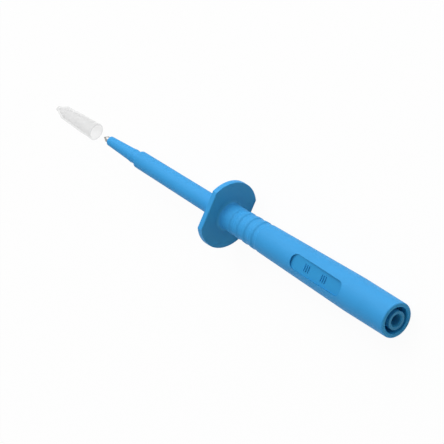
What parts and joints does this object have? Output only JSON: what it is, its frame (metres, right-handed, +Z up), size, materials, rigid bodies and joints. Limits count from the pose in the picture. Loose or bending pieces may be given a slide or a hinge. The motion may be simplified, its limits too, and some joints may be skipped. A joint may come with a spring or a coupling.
{
  "type": "test probe",
  "caption": "Slim insulated test probe with a steel point, round finger guard with two flats, tapered grip, shrouded socket at the rear and a clear pull-off tip cap.",
  "frame": {"origin": "centre of the socket's mouth, on the probe's axis at the rear face", "axes": "+X along the probe's axis towards the point, +Z up on the side of the grip's flat pocket, so the guard's lower flat faces the floor"},
  "size_m": [0.1727, 0.0238, 0.0196],
  "materials": {
    "blue_plastic": "light blue moulded polyamide, satin",
    "needle_steel": "ground stainless steel",
    "rod_brass": "drawn brass",
    "contact_nickel": "turned brass, nickel plated",
    "insulator_plastic": "blue moulded polyamide, satin",
    "cap_plastic": "clear to milky soft polyethylene"
  },
  "bodies": {
    "probe": {"housing": "blue_plastic", "needle": "needle_steel", "link_rod": "rod_brass", "socket_contact": "contact_nickel", "socket_insulator": "insulator_plastic"},
    "tip_cap": {"cap": "cap_plastic"}
  },
  "joints": [
    {"name": "cap_slide", "type": "slide", "parent": "probe", "child": "tip_cap", "axis": [1, 0, 0], "range_m": [-0.0224, 0]}
  ]
}
